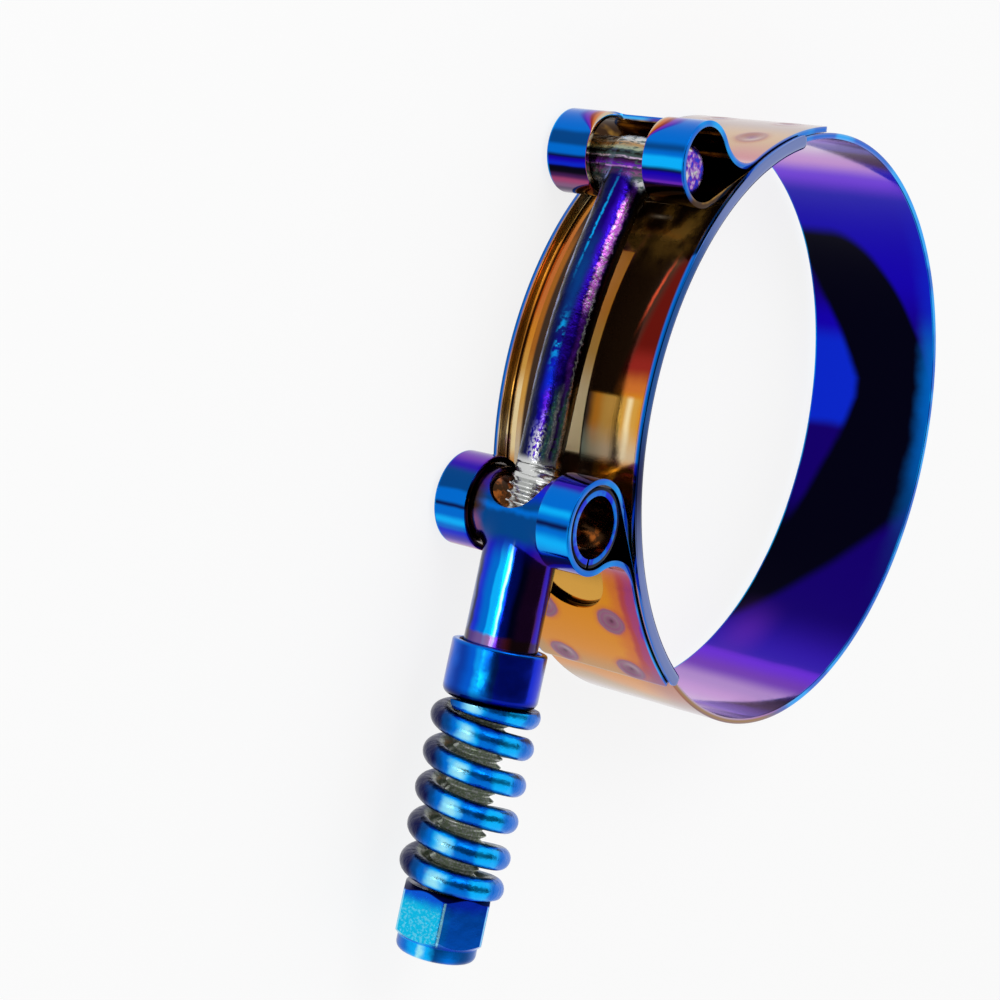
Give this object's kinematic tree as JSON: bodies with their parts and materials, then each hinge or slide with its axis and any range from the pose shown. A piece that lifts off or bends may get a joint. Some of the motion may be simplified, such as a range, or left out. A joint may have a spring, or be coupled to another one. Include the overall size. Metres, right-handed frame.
{
  "type": "t bolt clamp",
  "caption": "Spring-loaded T-bolt hose clamp: a flat ring band with folded loops, an inner bridge, a cross-bar bolt, a trunnion, a coil spring and a lock nut.",
  "frame": {"origin": "centre of the bore at half the band's width", "axes": "+Z along the bore; the bolt stands on the -X side, its head towards +Y and its nut towards -Y"},
  "size_m": [0.0867, 0.1066, 0.0208],
  "materials": {
    "band_steel": "heat-tinted mirror, blue to violet inside, gold to magenta on the legs",
    "bridge_steel": "heat-tinted mirror, brown to red and gold",
    "bolt_steel": "heat-tinted, blue and violet shank, bright thread",
    "trunnion_steel": "heat-tinted mirror, blue to violet",
    "cup_steel": "heat-tinted mirror, blue",
    "spring_steel": "heat-tinted, blue with pale inner side",
    "nut_steel": "heat-tinted, blue, finely grained faces",
    "insert_plastic": "plain"
  },
  "bodies": {
    "clamp": {"band": "band_steel", "bridge": "bridge_steel", "t_bolt": "bolt_steel"},
    "slider": {"trunnion": "trunnion_steel", "spring_cup": "cup_steel", "spring": "spring_steel"},
    "nut_carrier": {"nut_insert": "insert_plastic"},
    "nut": {"lock_nut": "nut_steel"}
  },
  "joints": [
    {"name": "band_close", "type": "slide", "parent": "clamp", "child": "slider", "axis": [0, 1, 0], "range_m": [0, 0.006], "deforming": ["band", "bridge"]},
    {"name": "nut_travel", "type": "slide", "parent": "slider", "child": "nut_carrier", "axis": [0, 1, 0], "range_m": [0, 0.004], "deforming": ["spring"]},
    {"name": "nut_turn", "type": "hinge", "parent": "nut_carrier", "child": "nut", "pos_m": [-0.0422, -0.0604, 0], "axis": [0, 1, 0], "range_deg": [0, 3600]}
  ],
  "couplings": [
    {"joint": "nut_travel", "follows": "band_close", "ratio": 0.66666},
    {"joint": "nut_turn", "follows": "band_close", "rad_per_m": 10472}
  ]
}
